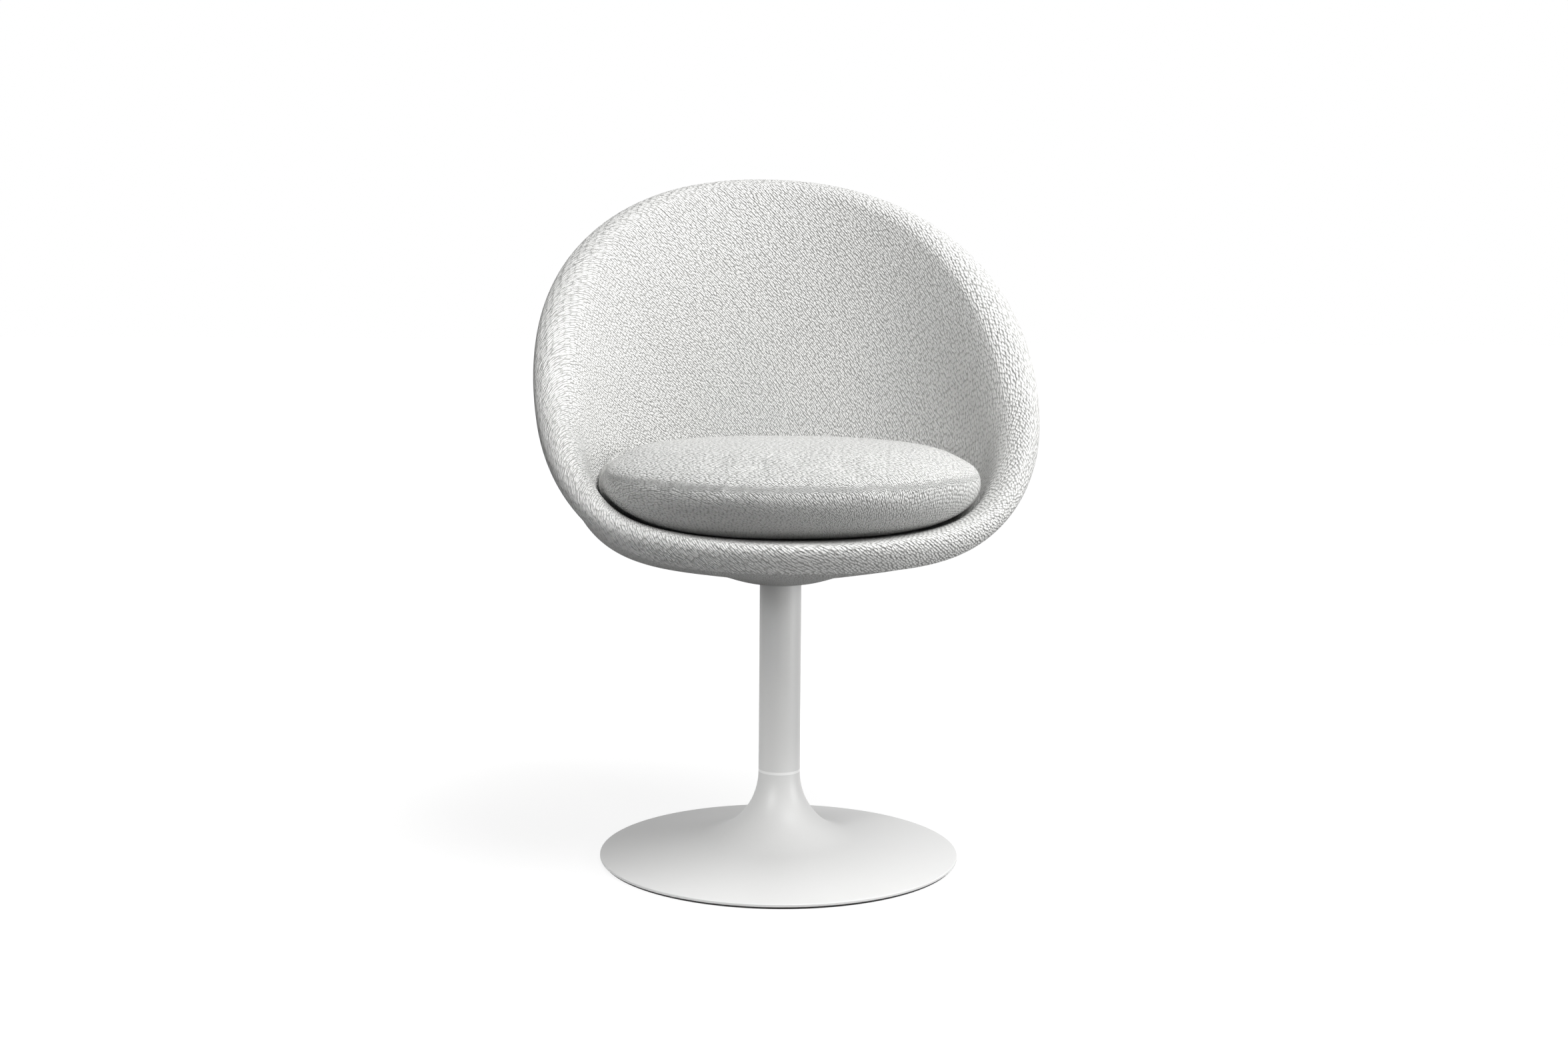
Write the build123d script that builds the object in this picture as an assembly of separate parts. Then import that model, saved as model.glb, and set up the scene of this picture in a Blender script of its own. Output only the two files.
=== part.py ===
from build123d import *
import math
import os

# Upholstered pod swivel chair on a trumpet foot. Millimetres, +Z up, the front faces -Y.
# The swivel axis is the Z axis and the floor is Z = 0.

# Foot and column
BASE_R = 216.0            # trumpet foot, outside
BASE_SHEET = 3.0          # its spun sheet
BASE_EDGE = 3.5           # height of its rim
BASE_ROUND = 1.0          # rounding of that rim's edges
BASE_FOOT = 8.0           # width of the flat under its rim
NECK_H = 98.6             # top of the trumpet above its rim
NECK_ARC = 80.0           # hollow curve of the neck
NECK_RING_H = 3.2         # ring between trumpet and column
PAD_H = 2.5               # floor pad
PAD_INSET = 3.0           # pad's edge inside the rim
BALLAST_H = 10.0
BALLAST_GAP = 2.0         # ballast to sheet
BALLAST_BOSS_R = 55.0
BALLAST_BOSS_H = 12.0
COLUMN_R = 25.0
COLUMN_WALL = 3.0
PLUG_H = 25.0
SLEEVE_WALL = 6.0
TIE_R = 6.0               # tie bolt, shank
TIE_HEAD_R = 9.5
TIE_HEAD_H = 7.5
TIE_WASHER_R = 12.0
TIE_WASHER_H = 2.0
TIE_END = 3.0             # tie bolt past the plug

# Swivel
SPINDLE_R = 12.5
COLLAR_R = 20.0
COLLAR_H = 11.5
FLANGE_H = 3.0            # upper bush
FLANGE_INSET = 0.5
THRUST_H = 3.0
UPPER_BUSH_H = 30.0
LOWER_BUSH_H = 25.0
BUSH_SPAN = 90.0          # between the two bushes
CLIP_H = 2.0
CLIP_GAP = 1.0            # circlip under the lower bush
CLIP_DEPTH = 1.3          # groove in the spindle
CLIP_RADIAL = 4.5
SPINDLE_TAIL = 8.0        # spindle under its circlip

# Seat plate and its bolts
PLATE = 150.0
PLATE_CORNER = 20.0
PLATE_H = 5.0
BOLT_PITCH = 110.0
BOLT_R = 4.0
BOLT_HEAD_R = 6.5
BOLT_HEAD_H = 5.0
WASHER_R = 8.5
WASHER_H = 1.6
NUT_FLANGE_R = 10.0
NUT_FLANGE_H = 1.5
NUT_BARREL_R = 5.5

# Pod: inside face of the upholstery
POD_HALF_W = 248.0        # rim's inner edge, from the middle
POD_FRONT = 174.0         # the same to the front and to the back of its widest line
POD_BACK = 316.0
POD_WIDEST_Y = -80.0
POD_CORNER = 2.3          # fullness of the rim's front half, 2 is an ellipse
FLOOR_Z = 405.0           # seat floor, under the cushion
FLOOR_R = 110.0           # flat middle of the seat floor
LIP_Z = 425.0             # rim's inner edge at the front
RIM_RISE = 0.923          # slope of the rim from the side
RIM_BEND_Y = -229.7       # where the rim leaves the flat lip
RIM_BEND = 23.9           # length of that bend
RIM_LEVEL = 47.0          # how far the slope levels off at the back
POD_WALL = 52.0           # thickness at the floor and at the rim, fabric to fabric
WALL_WAIST = 16.0         # how much thinner it is half-way up
RIM_BULGE = 0.87          # roundness of the rolled rim, 1 is a half circle
# Wall sections at the front, the side and the back, as shares of their run and rise
FLOOR_HANDLE = (0.40, 1.00, 0.25)
WALL_BULGE = (-0.28, -0.25, -0.30)
WALL_HANDLE = (0.07, 0.40, 0.53)

# Pod: layers
COVER = 2.0               # fabric with its backing
LAYER_GAP = 0.3
CORE = 6.0                # moulded shell
FLOOR_FOAM = 21.8         # foam on the seat floor
WADDING = 3.7             # between shell and back cover
CORE_FLOOR_SHARE = 0.7    # share of the wall in which the shell dips to the seat floor

# Pod: boss round the column
BOSS_DROP = 18.0          # boss below the pod's underside
BOSS_GAP = 3.0            # cover to column
CONE = 2.5                # moulded cone in the boss
CONE_WALL = 3.0
CONE_GAP = 1.0            # cone inside the cover's hole

# Cushion
CUSHION_SEAT_GAP = 1.2    # cushion to seat
CUSHION_SIDE_GAP = 27.0   # its edge inside the rim's inner edge, at the sides and at the back
CUSHION_BACK_GAP = 101.0
CUSHION_OVERHANG = 13.0   # the same edge past the rim's inner edge, at the front
CUSHION_CORNER = (2.0, 2.45)  # fullness of its corners at the front and at the back, 2 is an ellipse
CUSHION_EGG = 0.13        # how much wider it is in front than behind
CUSHION_WIDEST_H = (59.0, 73.5, 74.0)      # that edge above the seat floor: front, side and back
CUSHION_LEAVE = (0.985, 0.42, 0.25)        # share of the wall on which the cushion lies
CUSHION_TUCK = (0.65, 0.46, 0.50)          # fullness of its lower edge, 0.5 is straight
CUSHION_H = 97.0          # crown above the seat floor
CUSHION_SQUARE = 3.0      # how square its upper edge is

# Fits
RUNNING_FIT = 0.05        # spindle in its bushes
FREE_FIT = 0.5            # bolts in their holes
SNUG_FIT = 0.05           # pieces set in one another
SEAM = 0.3                # between covers that meet

# Curves through points
RAIL_POINTS = 24
ARC_POINTS = 36
WALL_STEPS = (0.0, 0.06, 0.12, 0.2, 0.3, 0.4, 0.5, 0.6, 0.7, 0.8, 0.9, 1.0)
RIM_STEPS = (150.0, 120.0, 90.0, 60.0, 30.0, 0.0)
BOSS_STEPS = (1.0, 0.8, 0.6, 0.4, 0.2, 0.0)
UNDER_STEPS = (0.0, 0.2, 0.4, 0.6, 0.8, 1.0)
CROWN_STEPS = (0.1, 0.2, 0.3, 0.4, 0.5, 0.6, 0.7, 0.8, 0.9, 1.0)
CROWN_FLAT = 0.15         # flat middle of the crown, share of its reach

# Heights that follow
RIM_LOW_Z = PAD_H
RIM_TOP_Z = RIM_LOW_Z + BASE_EDGE
NECK_Z = RIM_TOP_Z + NECK_H
COLUMN_Z = NECK_Z + NECK_RING_H
CORE_TOP_Z = FLOOR_Z - COVER - FLOOR_FOAM - 2 * LAYER_GAP
CORE_LOW_Z = CORE_TOP_Z - CORE
PLATE_LOW_Z = CORE_LOW_Z - PLATE_H
COLLAR_LOW_Z = PLATE_LOW_Z - COLLAR_H
THRUST_TOP_Z = COLLAR_LOW_Z - RUNNING_FIT
FLANGE_TOP_Z = THRUST_TOP_Z - THRUST_H
COLUMN_TOP_Z = FLANGE_TOP_Z - FLANGE_H
UNDERSIDE_Z = FLOOR_Z - POD_WALL
BOSS_Z = UNDERSIDE_Z - BOSS_DROP
BOSS_R = COLUMN_R + BOSS_GAP
TUBE_IN_R = COLUMN_R - COLUMN_WALL


def tube(radius, bore, low, high):
    """Upright ring or, with no bore, disc."""
    solid = Pos(0, 0, low) * Cylinder(radius, high - low, align=(Align.CENTER, Align.CENTER, Align.MIN))
    if bore:
        solid -= Pos(0, 0, low) * Cylinder(bore, high - low, align=(Align.CENTER, Align.CENTER, Align.MIN))
    return solid


def at_bolts(solid):
    """Four copies on the seat plate's bolt square."""
    return [spot * solid for spot in GridLocations(BOLT_PITCH, BOLT_PITCH, 2, 2)]


def spun(*edges):
    """Solid of revolution of a closed outline drawn in the XZ plane."""
    return revolve(make_face(list(edges)), Axis.Z)


# Foot

def base_slope():
    """Angle at which the neck's arc meets the straight skirt."""
    across = BASE_R - COLUMN_R - NECK_ARC
    down = RIM_TOP_Z - NECK_Z
    length = math.sqrt(across**2 + down**2 - NECK_ARC**2)
    return math.atan2(down, across) + math.pi - math.atan2(length, NECK_ARC)


def neck_point(turn, radius):
    """Point of the neck's arc, or of one round the same centre."""
    x = COLUMN_R + NECK_ARC - radius * math.cos(turn)
    z = NECK_Z - radius * math.sin(turn)
    return Vector(x, 0, z)


def skirt_inside(height):
    """Radius at which the inside of the skirt has a height."""
    turn = base_slope()
    start = neck_point(turn, NECK_ARC + BASE_SHEET)
    return start.X + (start.Z - height) * math.tan(turn)


def make_base_trumpet():
    turn = base_slope()
    inside = NECK_ARC + BASE_SHEET
    foot_in = BASE_R - BASE_FOOT
    start = neck_point(turn, inside)
    foot_top = start.Z - (foot_in - start.X) / math.tan(turn)
    lip = math.asin(BASE_SHEET / inside)
    bore = TIE_R + FREE_FIT
    lip_in = neck_point(lip, inside)
    outline = [
        Line((bore, 0, NECK_Z), (COLUMN_R, 0, NECK_Z)),
        ThreePointArc(neck_point(0, NECK_ARC), neck_point(turn / 2, NECK_ARC), neck_point(turn, NECK_ARC)),
        Line(neck_point(turn, NECK_ARC), (BASE_R, 0, RIM_TOP_Z)),
        Line((BASE_R, 0, RIM_TOP_Z), (BASE_R, 0, RIM_LOW_Z)),
        Line((BASE_R, 0, RIM_LOW_Z), (foot_in, 0, RIM_LOW_Z)),
        Line((foot_in, 0, RIM_LOW_Z), (foot_in, 0, foot_top)),
        Line((foot_in, 0, foot_top), start),
        ThreePointArc(start, neck_point((turn + lip) / 2, inside), lip_in),
        Line(lip_in, (bore, 0, lip_in.Z)),
        Line((bore, 0, lip_in.Z), (bore, 0, NECK_Z)),
    ]
    base = spun(*outline)
    circles = base.edges().filter_by(GeomType.CIRCLE)
    return fillet([edge for edge in circles if edge.radius > foot_in + SNUG_FIT], BASE_ROUND)


def make_ballast_disc():
    top = PAD_H + BALLAST_H
    disc = tube(skirt_inside(top + BALLAST_GAP), 0, PAD_H, top)
    disc += tube(BALLAST_BOSS_R, 0, top, ballast_top())
    disc -= tube(TIE_R + FREE_FIT, 0, PAD_H, ballast_top())
    return disc - tube(TIE_WASHER_R + FREE_FIT, 0, PAD_H, washer_top())


def ballast_top():
    return PAD_H + BALLAST_H + BALLAST_BOSS_H


def washer_top():
    """Bottom of the pocket in the ballast for the tie bolt's head."""
    return PAD_H + FREE_FIT + TIE_HEAD_H + TIE_WASHER_H


def make_tie_bolt():
    head = Pos(0, 0, PAD_H + FREE_FIT) * extrude(RegularPolygon(TIE_HEAD_R, 6), TIE_HEAD_H)
    return head + tube(TIE_R, 0, PAD_H + FREE_FIT, COLUMN_Z + PLUG_H + TIE_END)


def make_tie_sleeve():
    bore = TIE_R + FREE_FIT
    return tube(bore + SLEEVE_WALL, bore, ballast_top(), NECK_Z - BASE_SHEET)


def make_upper_bush():
    bore = SPINDLE_R + RUNNING_FIT
    sleeve = tube(TUBE_IN_R - SNUG_FIT, bore, COLUMN_TOP_Z - UPPER_BUSH_H, COLUMN_TOP_Z)
    return sleeve + tube(COLUMN_R - FLANGE_INSET, bore, COLUMN_TOP_Z, FLANGE_TOP_Z)


# Swivel

LOWER_BUSH_TOP_Z = COLUMN_TOP_Z - UPPER_BUSH_H - BUSH_SPAN
CLIP_TOP_Z = LOWER_BUSH_TOP_Z - LOWER_BUSH_H - CLIP_GAP
GROOVE_R = SPINDLE_R - CLIP_DEPTH


def make_spindle():
    spindle = tube(SPINDLE_R, 0, CLIP_TOP_Z - CLIP_H - SPINDLE_TAIL, PLATE_LOW_Z)
    spindle += tube(COLLAR_R, 0, COLLAR_LOW_Z, PLATE_LOW_Z)
    return spindle - tube(SPINDLE_R, GROOVE_R, CLIP_TOP_Z - CLIP_H, CLIP_TOP_Z)


def make_circlip():
    ring = tube(GROOVE_R + CLIP_RADIAL, GROOVE_R, CLIP_TOP_Z - CLIP_H, CLIP_TOP_Z)
    gap = Box(GROOVE_R, 2 * COLUMN_R, CLIP_H, align=(Align.CENTER, Align.MIN, Align.MIN))
    return ring - Pos(0, 0, CLIP_TOP_Z - CLIP_H) * gap


def make_seat_plate():
    plate = extrude(RectangleRounded(PLATE, PLATE, PLATE_CORNER), PLATE_H)
    plate = Pos(0, 0, PLATE_LOW_Z) * plate
    for hole in at_bolts(tube(BOLT_R + FREE_FIT, 0, PLATE_LOW_Z, CORE_LOW_Z)):
        plate -= hole
    return plate


def make_plate_bolt():
    head_top = PLATE_LOW_Z - WASHER_H
    shank = tube(BOLT_R, 0, head_top, CORE_TOP_Z + NUT_FLANGE_H)
    return shank + tube(BOLT_HEAD_R, 0, head_top - BOLT_HEAD_H, head_top)


def make_plate_washer():
    return tube(WASHER_R, BOLT_R + SNUG_FIT, PLATE_LOW_Z - WASHER_H, PLATE_LOW_Z)


def make_tee_nut():
    bore = BOLT_R + SNUG_FIT
    flange = tube(NUT_FLANGE_R, bore, CORE_TOP_Z, CORE_TOP_Z + NUT_FLANGE_H)
    return flange + tube(NUT_BARREL_R, bore, CORE_LOW_Z, CORE_TOP_Z)


# Pod

def around(azimuth, values):
    """Smooth mix of a front, a side and a back value, by azimuth from the front."""
    front, side, back = values
    c = math.cos(azimuth)
    return front * c * (1 + c) / 2 + side * (1 - c * c) + back * c * (c - 1) / 2


def ease(x):
    """Smooth step from 0 to 1."""
    x = min(max(x, 0.0), 1.0)
    return x * x * (3 - 2 * x)


def wall(azimuth, s, out=0.0, along=0.0):
    """Point of the pod's wall. Each azimuth has an upright cubic curve from the flat seat floor (s = 0)
    to the rim's inner edge (s = 1). The point lies out from that curve, towards the pod's outside,
    and along it."""
    sin, cos = math.sin(azimuth), math.cos(azimuth)
    power = 2 / POD_CORNER if cos > 0 else 1.0
    rim_x = POD_HALF_W * math.copysign(abs(sin)**power, sin)
    rim_y = POD_WIDEST_Y - (POD_FRONT if cos > 0 else POD_BACK) * math.copysign(abs(cos)**power, cos)
    rim_z = LIP_Z + RIM_RISE * RIM_BEND * math.log1p(math.exp((rim_y - RIM_BEND_Y) / RIM_BEND))
    rim_z -= RIM_LEVEL * ((1 - cos) / 2)**6
    start = Vector(FLOOR_R * sin, -FLOOR_R * cos, FLOOR_Z)
    across = Vector(rim_x, rim_y, FLOOR_Z) - start
    run = across.length
    rise = rim_z - FLOOR_Z
    u1 = around(azimuth, FLOOR_HANDLE) * run
    u2 = (1 + around(azimuth, WALL_BULGE)) * run
    z2 = (1 - around(azimuth, WALL_HANDLE)) * rise
    r = 1 - s
    u = 3 * r * r * s * u1 + 3 * r * s * s * u2 + s**3 * run
    z = 3 * r * s * s * z2 + s**3 * rise
    du = 3 * r * r * u1 + 6 * r * s * (u2 - u1) + 3 * s * s * (run - u2)
    dz = 6 * r * s * z2 + 3 * s * s * (rise - z2)
    size = math.hypot(du, dz)
    u += (out * dz + along * du) / size
    z += (along * dz - out * du) / size
    return start + across * (u / run) + Vector(0, 0, z)


def thickness(s):
    """Thickness of the upholstered wall, from fabric to fabric."""
    return POD_WALL - WALL_WAIST * 4 * s * (1 - s)


def rim(azimuth, turn, inset):
    """Point of the rolled rim: a half ellipse from the wall's inside (180) to its outside (0)."""
    k = math.radians(turn)
    half = POD_WALL / 2
    return wall(azimuth, 1.0, half + (half - inset) * math.cos(k), (RIM_BULGE * half - inset) * math.sin(k))


def rail(place):
    """Closed smooth curve round the pod."""
    points = [place(2 * math.pi * k / RAIL_POINTS) for k in range(RAIL_POINTS)]
    even = [float(k) for k in range(RAIL_POINTS + 1)]
    return Wire([Edge.make_spline(points, periodic=True, parameters=even)])


def wall_rails(out, along=0.0):
    """Rails up the wall, out given as a function of s. The last one is moved along the wall."""
    rails = [rail(lambda a, s=s: wall(a, s, out(s))) for s in WALL_STEPS[:-1]]
    return rails + [rail(lambda a: wall(a, 1.0, out(1.0), along))]


def rim_rails(inset):
    return [rail(lambda a, t=t: rim(a, t, inset)) for t in RIM_STEPS]


def boss_height(share):
    """Underside's height over the boss, from its hole (0) to the flat underside (1)."""
    return BOSS_Z + BOSS_DROP * ease(share)


def boss_rails(above):
    """Rails from the flat underside in to the hole round the column."""
    rails = []
    for share in BOSS_STEPS:
        radius = BOSS_R + (FLOOR_R - BOSS_R) * share
        z = boss_height(share) + above
        rails.append(rail(lambda a, r=radius, h=z: Vector(r * math.sin(a), -r * math.cos(a), h)))
    return rails


def sewn(strips, caps=()):
    """Solid from strips of rails, each lofted, and flat caps."""
    faces = [Face(wire) for wire in caps]
    for strip in strips:
        faces += Shell.make_loft(strip, ruled=len(strip) == 2).faces()
    return Solid(Shell(faces))


def core_out(s):
    """Outer face of the moulded shell, measured from the inside face of the upholstery."""
    floor = FLOOR_Z - CORE_LOW_Z
    side = thickness(s) - COVER - WADDING - 2 * LAYER_GAP
    return floor + (side - floor) * ease(s / CORE_FLOOR_SHARE)


def core_in(s):
    return core_out(s) - CORE


def make_shell_core():
    outside = wall_rails(core_out, -LAYER_GAP)
    inside = wall_rails(core_in, -LAYER_GAP)
    core = sewn([outside, inside, [outside[-1], inside[-1]]], [outside[0], inside[0]])
    for hole in at_bolts(tube(NUT_BARREL_R + SNUG_FIT, 0, CORE_LOW_Z, CORE_TOP_Z)):
        core -= hole
    return core


def make_shell_foam():
    inset = COVER + LAYER_GAP
    face = wall_rails(lambda s: inset) + rim_rails(inset)
    back = wall_rails(lambda s: core_in(s) - LAYER_GAP)
    foam = sewn([face, back, [face[-1], back[-1]]], [face[0], back[0]])
    pocket = tube(NUT_FLANGE_R + FREE_FIT, 0, CORE_TOP_Z, CORE_TOP_Z + NUT_FLANGE_H + FREE_FIT)
    for hole in at_bolts(pocket):
        foam -= hole
    return foam


def make_back_wadding():
    outside = wall_rails(lambda s: thickness(s) - COVER - LAYER_GAP, -LAYER_GAP)
    inside = wall_rails(lambda s: core_out(s) + LAYER_GAP, -LAYER_GAP)
    return sewn([outside, inside, [outside[-1], inside[-1]], [outside[0], inside[0]]])


def make_cover_front():
    face = wall_rails(lambda s: 0.0) + rim_rails(0.0)
    back = wall_rails(lambda s: COVER) + rim_rails(COVER)
    return sewn([face, back, [face[-1], back[-1]]], [face[0], back[0]])


def make_cover_back():
    face = wall_rails(thickness, -SEAM)
    back = wall_rails(lambda s: thickness(s) - COVER, -SEAM)
    boss_face = boss_rails(0.0)
    boss_back = boss_rails(COVER)
    seam = [face[-1], back[-1]]
    hole = [boss_face[-1], boss_back[-1]]
    return sewn([face, back, boss_face, boss_back, seam, hole])


def make_swivel_cone():
    low = COVER + LAYER_GAP
    outer = FLOOR_R - LAYER_GAP
    inner = outer - CONE_WALL
    top = CORE_LOW_Z - LAYER_GAP

    def curve(above, last):
        first = BOSS_R + CONE_GAP
        radii = [last + (first - last) * (1 - share) for share in BOSS_STEPS]
        return [(r, 0, boss_height((r - BOSS_R) / (FLOOR_R - BOSS_R)) + above) for r in radii]

    under = curve(low, outer)
    over = curve(low + CONE, inner)
    return spun(
        Spline(*under),
        Line(under[0], (outer, 0, top)),
        Line((outer, 0, top), (inner, 0, top)),
        Line((inner, 0, top), over[0]),
        Spline(*over),
        Line(over[-1], under[-1]),
    )


# Cushion

CUSHION_HALF_W = POD_HALF_W - CUSHION_SIDE_GAP
CUSHION_FRONT_Y = POD_WIDEST_Y - POD_FRONT - CUSHION_OVERHANG
CUSHION_BACK_Y = POD_WIDEST_Y + POD_BACK - CUSHION_BACK_GAP
CUSHION_MIDDLE_Y = (CUSHION_FRONT_Y + CUSHION_BACK_Y) / 2
CUSHION_TOP_Z = FLOOR_Z + CUSHION_H


def cushion_edge(azimuth, inset, share=1.0):
    """Point of the widest line of the cushion, set in, or of that line drawn in to a share of its reach."""
    sin, cos = math.sin(azimuth), math.cos(azimuth)
    power = 2 / CUSHION_CORNER[0 if cos > 0 else 1]
    half_depth = (CUSHION_BACK_Y - CUSHION_FRONT_Y) / 2
    x = (CUSHION_HALF_W - inset) * math.copysign(abs(sin)**power, sin) * (1 + CUSHION_EGG * cos)
    y = CUSHION_MIDDLE_Y - (half_depth - inset) * share * math.copysign(abs(cos)**power, cos)
    return Vector(x * share, y, FLOOR_Z + around(azimuth, CUSHION_WIDEST_H))


def cushion_crown(azimuth, step, inset):
    """Point of the cushion's upper side, which rises from the widest line (0) to the crown's flat (1)."""
    place = cushion_edge(azimuth, inset, 1 - (1 - CROWN_FLAT) * step**2)
    rise = (CUSHION_TOP_Z - inset - place.Z) * (1 - (1 - step)**CUSHION_SQUARE)
    return place + Vector(0, 0, rise)


def arc_rail(place):
    """Closed curve round the cushion, of short arcs."""
    points = [place(2 * math.pi * k / ARC_POINTS) for k in range(ARC_POINTS)]
    arcs = []
    for k in range(0, ARC_POINTS, 2):
        end = points[(k + 2) % ARC_POINTS]
        arcs.append(Edge.make_three_point_arc(points[k], points[k + 1], end))
    return Wire(arcs)


def under_rails(inset):
    """Rails of the cushion's underside, as far as it lies along the seat."""
    out = -CUSHION_SEAT_GAP - inset
    return [arc_rail(lambda a, k=k: wall(a, k * around(a, CUSHION_LEAVE), out)) for k in UNDER_STEPS]


def side_rails(inset, edge):
    """Rails from the seat up to the widest line, with a full lower edge."""
    def middle(azimuth):
        low = wall(azimuth, around(azimuth, CUSHION_LEAVE), -CUSHION_SEAT_GAP - inset)
        high = cushion_edge(azimuth, inset)
        share = around(azimuth, CUSHION_TUCK)
        x = low.X + (high.X - low.X) * share
        y = low.Y + (high.Y - low.Y) * share
        return Vector(x, y, high.Z + (low.Z - high.Z) * share)

    return [under_rails(inset)[-1], arc_rail(middle), edge]


def crown_rails(inset):
    """Rails of the cushion's upper side, above the widest line."""
    return [arc_rail(lambda a, k=k: cushion_crown(a, k, inset)) for k in CROWN_STEPS]


def edge_rail(inset, above=0.0):
    """The widest line itself, moved up."""
    return arc_rail(lambda a: cushion_edge(a, inset) + Vector(0, 0, above))


def make_cushion_foam():
    inset = COVER + LAYER_GAP
    edge = edge_rail(inset)
    under = under_rails(inset)
    crown = [edge] + crown_rails(inset)
    return sewn([under, side_rails(inset, edge), crown], [under[0], crown[-1]])


def make_cushion_cover_top():
    face = [edge_rail(0.0, SEAM / 2)] + crown_rails(0.0)
    back = [edge_rail(COVER, SEAM / 2)] + crown_rails(COVER)
    return sewn([face, back, [face[0], back[0]]], [face[-1], back[-1]])


def make_cushion_cover_bottom():
    strips = []
    for inset in (0.0, COVER):
        strips.append(under_rails(inset))
        strips.append(side_rails(inset, edge_rail(inset, -SEAM / 2)))
    band = [strips[1][-1], strips[3][-1]]
    return sewn(strips + [band], [strips[0][0], strips[2][0]])


# Nodes

plug_top = COLUMN_Z + PLUG_H
washer_low = washer_top() - TIE_WASHER_H
bush_bore = SPINDLE_R + RUNNING_FIT
NODES = {
    "floor_pad": tube(BASE_R - PAD_INSET, 0, 0, PAD_H),
    "base_trumpet": make_base_trumpet(),
    "ballast_disc": make_ballast_disc(),
    "tie_sleeve": make_tie_sleeve(),
    "tie_bolt": make_tie_bolt(),
    "tie_washer": tube(TIE_WASHER_R, TIE_R + SNUG_FIT, washer_low, washer_top()),
    "neck_ring": tube(COLUMN_R, TIE_R + FREE_FIT, NECK_Z, COLUMN_Z),
    "column_tube": tube(COLUMN_R, TUBE_IN_R, COLUMN_Z, COLUMN_TOP_Z),
    "column_plug": tube(TUBE_IN_R - SNUG_FIT, TIE_R + SNUG_FIT, COLUMN_Z, plug_top),
    "lower_bush": tube(TUBE_IN_R - SNUG_FIT, bush_bore, LOWER_BUSH_TOP_Z - LOWER_BUSH_H, LOWER_BUSH_TOP_Z),
    "upper_bush": make_upper_bush(),
    "thrust_washer": tube(COLUMN_R - FLANGE_INSET, bush_bore, FLANGE_TOP_Z, THRUST_TOP_Z),
    "spindle": make_spindle(),
    "circlip": make_circlip(),
    "seat_plate": make_seat_plate(),
    "plate_bolts": Compound(children=at_bolts(make_plate_bolt())),
    "plate_washers": Compound(children=at_bolts(make_plate_washer())),
    "tee_nuts": Compound(children=at_bolts(make_tee_nut())),
    "shell_core": make_shell_core(),
    "shell_foam": make_shell_foam(),
    "back_wadding": make_back_wadding(),
    "swivel_cone": make_swivel_cone(),
    "cover_front": make_cover_front(),
    "cover_back": make_cover_back(),
    "cushion_foam": make_cushion_foam(),
    "cushion_cover_top": make_cushion_cover_top(),
    "cushion_cover_bottom": make_cushion_cover_bottom(),
}

os.makedirs("parts", exist_ok=True)
for name, solid in NODES.items():
    export_step(solid, f"parts/{name}.step")
    box = solid.bounding_box()
    print(f"{name:22s} valid {solid.is_valid} volume {solid.volume / 1000:9.1f} cm3 "
          f"z {box.min.Z:6.1f} to {box.max.Z:6.1f}")
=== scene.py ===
"""Looks of an upholstered pod swivel chair on a trumpet foot, laid over its solids."""

import math

import bpy
import numpy as np
from mathutils import Matrix, Vector


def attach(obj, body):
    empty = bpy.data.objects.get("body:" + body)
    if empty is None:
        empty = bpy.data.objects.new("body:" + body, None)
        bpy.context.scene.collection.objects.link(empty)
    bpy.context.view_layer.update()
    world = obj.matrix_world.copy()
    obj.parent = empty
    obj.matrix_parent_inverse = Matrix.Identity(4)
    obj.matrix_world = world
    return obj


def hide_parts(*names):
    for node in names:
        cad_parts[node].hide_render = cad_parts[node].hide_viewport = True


bl_info = {
    "name": "Pod swivel chair",
    "version": (1, 0, 0),
    "blender": (4, 5, 0),
    "location": "3D View > Sidebar > Chair",
    "description": "Boucle covers, loose cushion, enamelled foot and studio for a pod swivel chair",
    "category": "Object",
}

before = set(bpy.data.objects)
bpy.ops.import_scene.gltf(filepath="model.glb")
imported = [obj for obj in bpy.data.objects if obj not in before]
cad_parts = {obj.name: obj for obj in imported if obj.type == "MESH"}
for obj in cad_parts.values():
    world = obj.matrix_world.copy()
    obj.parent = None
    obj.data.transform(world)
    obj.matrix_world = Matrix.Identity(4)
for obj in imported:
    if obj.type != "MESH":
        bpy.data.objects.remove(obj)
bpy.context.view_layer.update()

# Numbers of rows and columns in the meshes
COLUMNS = 360
WALL_ROWS = 96
RIM_ROWS = 40
INNER_ROWS = 24
BOSS_ROWS = 26
CUSHION_COLUMNS = 240
FLOOR_ROWS = 8
SEAT_ROWS = 40
SIDE_ROWS = 24
CROWN_ROWS = 60
VOXEL = 0.005
CLOTH_FRAMES = 20

# Seam of the two covers: how far its rows lie in from the outside, and up or down along the wall
SEAM_IN = np.array([0.0004, 0.0014, 0.0045])[:, None]
SEAM_UP = np.array([0.0009, 0.0004, 0.0002])[:, None]
SEAM_DOWN = np.array([0.0010, 0.0005, 0.0003])[:, None]
SEAM_EDGE = 0.002

# Lip's nose: its reach, and the power with which it rises from the edge
NOSE_REACH = 1.2
NOSE_RISE = 0.22

# Pressed corners: their azimuth and its spread in degrees, and where on the wall they start and are full
PRESS_AT = 57
PRESS_SPREAD = 20
PRESS_FROM = 0.42
PRESS_RISE = 0.22

# Weave's mean radius round the pod
MEAN_RADIUS = 0.25

# Floor: half its side, its place under the pad, and where its own white begins to grow
FLOOR_HALF = 30.0
FLOOR_DROP = 0.0004
FLOOR_START = 0.25

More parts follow.
